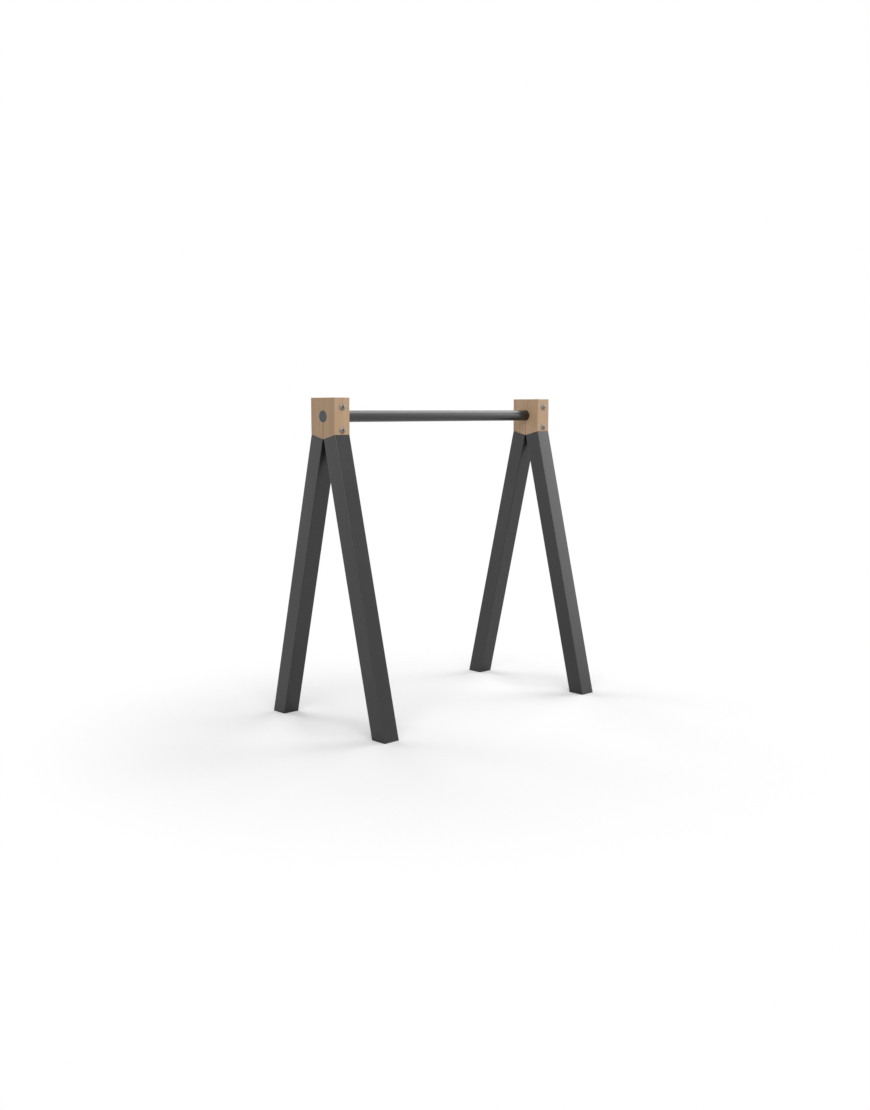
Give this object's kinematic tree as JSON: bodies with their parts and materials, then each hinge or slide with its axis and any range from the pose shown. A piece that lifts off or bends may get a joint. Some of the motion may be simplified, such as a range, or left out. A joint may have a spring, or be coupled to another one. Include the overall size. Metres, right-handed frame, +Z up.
{
  "type": "folding sawhorse",
  "caption": "Trestle sawhorse with square steel tube legs that fold at split wooden heads, joined by a round steel crossbar.",
  "frame": {"origin": "on the floor, in the middle between the four feet, with the trestle open", "axes": "+Z up; +X along the crossbar towards the right head; -Y is the front, where the sleeve nuts' heads are"},
  "size_m": [0.672, 0.3884, 0.71],
  "materials": {
    "beech": "oiled beech, fine upright grain",
    "powder_coat": "satin anthracite powder coat",
    "bar_powder_coat": "satin anthracite powder coat",
    "bolt_steel": "zinc-plated steel, satin",
    "hinge_steel": "zinc-plated steel, dull",
    "cast_alloy": "black-coated die casting",
    "black_screw": "black oxide",
    "black_plastic": "moulded polyethylene",
    "grey_plastic": "moulded, fine grain"
  },
  "bodies": {
    "trestle_top": {"crossbar": "bar_powder_coat", "left_crossbar_plug": "grey_plastic", "left_head_front_half": "beech", "left_head_back_half": "beech", "left_upper_sleeve_nut": "bolt_steel", "left_lower_sleeve_nut": "bolt_steel", "left_upper_cross_bolt": "bolt_steel", "left_lower_cross_bolt": "bolt_steel", "left_hinge_plate": "hinge_steel", "left_hinge_pin": "hinge_steel", "left_pin_clip": "hinge_steel", "right_crossbar_plug": "grey_plastic", "right_head_front_half": "beech", "right_head_back_half": "beech", "right_upper_sleeve_nut": "bolt_steel", "right_lower_sleeve_nut": "bolt_steel", "right_upper_cross_bolt": "bolt_steel", "right_lower_cross_bolt": "bolt_steel", "right_hinge_plate": "hinge_steel", "right_hinge_pin": "hinge_steel", "right_pin_clip": "hinge_steel"},
    "left_front_leg": {"left_front_leg_tube": "powder_coat", "left_front_leg_hinge_block": "cast_alloy", "left_front_leg_block_screw": "black_screw", "left_front_leg_foot_plug": "black_plastic"},
    "left_back_leg": {"left_back_leg_tube": "powder_coat", "left_back_leg_hinge_block": "cast_alloy", "left_back_leg_block_screw": "black_screw", "left_back_leg_foot_plug": "black_plastic"},
    "right_front_leg": {"right_front_leg_tube": "powder_coat", "right_front_leg_hinge_block": "cast_alloy", "right_front_leg_block_screw": "black_screw", "right_front_leg_foot_plug": "black_plastic"},
    "right_back_leg": {"right_back_leg_tube": "powder_coat", "right_back_leg_hinge_block": "cast_alloy", "right_back_leg_block_screw": "black_screw", "right_back_leg_foot_plug": "black_plastic"}
  },
  "joints": [
    {"name": "left_front_leg_fold", "type": "hinge", "parent": "trestle_top", "child": "left_front_leg", "pos_m": [-0.316, 0, 0.60873], "axis": [1, 0, 0], "range_deg": [0, 14]},
    {"name": "left_back_leg_fold", "type": "hinge", "parent": "trestle_top", "child": "left_back_leg", "pos_m": [-0.316, 0, 0.60873], "axis": [-1, 0, 0], "range_deg": [0, 14]},
    {"name": "right_front_leg_fold", "type": "hinge", "parent": "trestle_top", "child": "right_front_leg", "pos_m": [0.316, 0, 0.60873], "axis": [1, 0, 0], "range_deg": [0, 14]},
    {"name": "right_back_leg_fold", "type": "hinge", "parent": "trestle_top", "child": "right_back_leg", "pos_m": [0.316, 0, 0.60873], "axis": [-1, 0, 0], "range_deg": [0, 14]}
  ]
}
